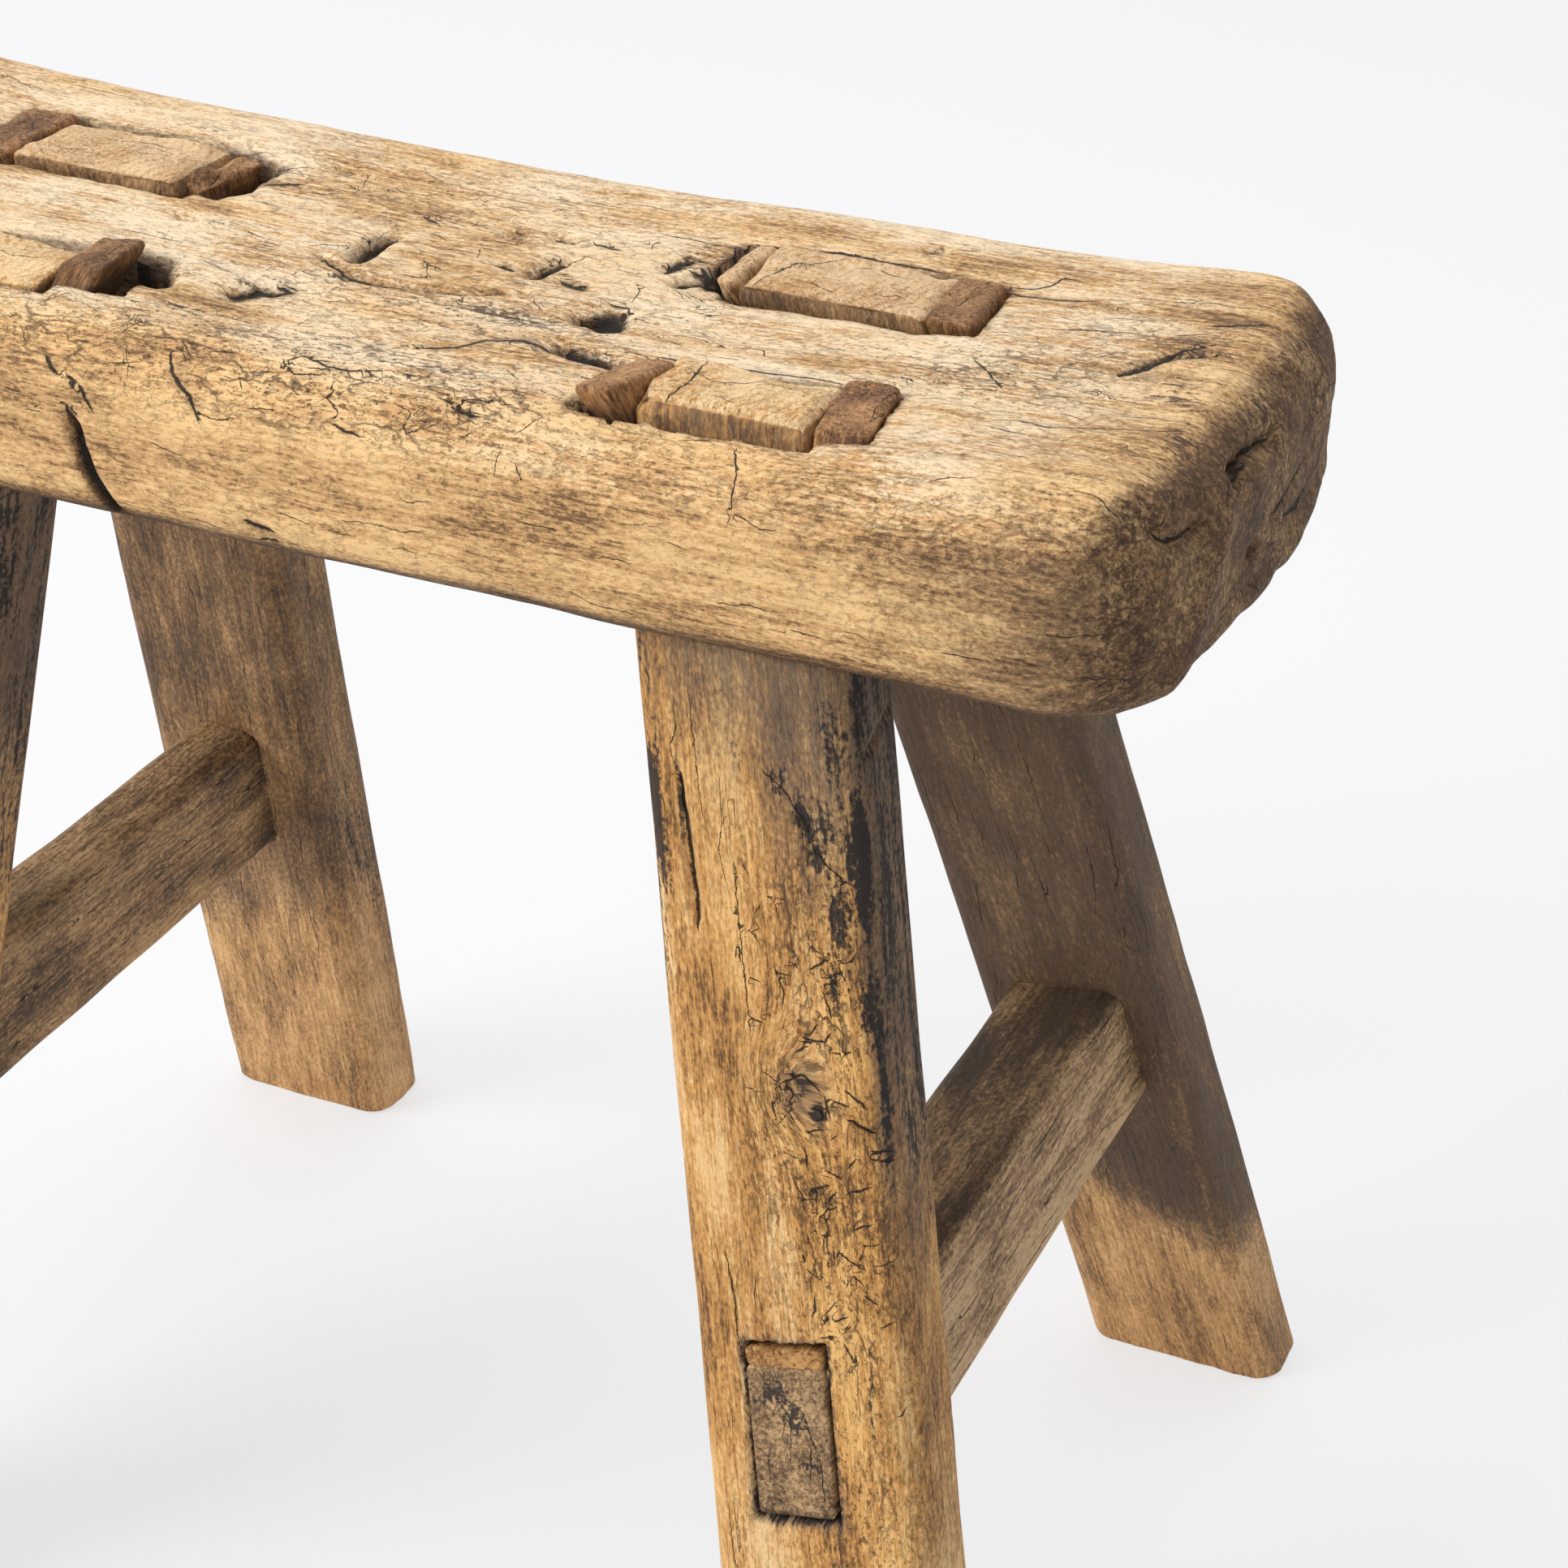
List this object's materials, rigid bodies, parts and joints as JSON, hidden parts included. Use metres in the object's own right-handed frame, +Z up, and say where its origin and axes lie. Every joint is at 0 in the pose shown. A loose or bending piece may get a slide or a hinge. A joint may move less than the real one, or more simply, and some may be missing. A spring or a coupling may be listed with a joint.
{
  "type": "plank stool",
  "caption": "Low rustic stool: a thick plank seat, worn hollow, on splayed legs with wedged through tenons, and a stretcher between the legs of each end.",
  "frame": {"origin": "on the floor, under the middle of the seat's length and midway between the front and the rear feet", "axes": "+X along the seat towards its right end, the end nearest in the picture; -Y the front; +Z up"},
  "size_m": [0.344, 0.237, 0.2991],
  "materials": {
    "seat_wood": "bare, worn smooth and sun bleached, with open cracks and pits",
    "leg_wood": "bare, weathered, stained nearly black along some edges",
    "stretcher_wood": "bare, rough and grey brown",
    "wedge_wood": "bare end grain, split and darker than the seat"
  },
  "bodies": {
    "root": {"seat": "seat_wood", "stretcher_right": "stretcher_wood", "stretcher_left": "stretcher_wood", "leg_front_right": "leg_wood", "leg_rear_right": "leg_wood", "leg_front_left": "leg_wood", "leg_rear_left": "leg_wood", "seat_wedge_front_right_inner": "wedge_wood", "seat_wedge_front_right_outer": "wedge_wood", "stretcher_wedge_front_right": "wedge_wood", "seat_wedge_rear_right_inner": "wedge_wood", "seat_wedge_rear_right_outer": "wedge_wood", "stretcher_wedge_rear_right": "wedge_wood", "seat_wedge_front_left_inner": "wedge_wood", "seat_wedge_front_left_outer": "wedge_wood", "stretcher_wedge_front_left": "wedge_wood", "seat_wedge_rear_left_inner": "wedge_wood", "seat_wedge_rear_left_outer": "wedge_wood", "stretcher_wedge_rear_left": "wedge_wood"}
  },
  "joints": []
}
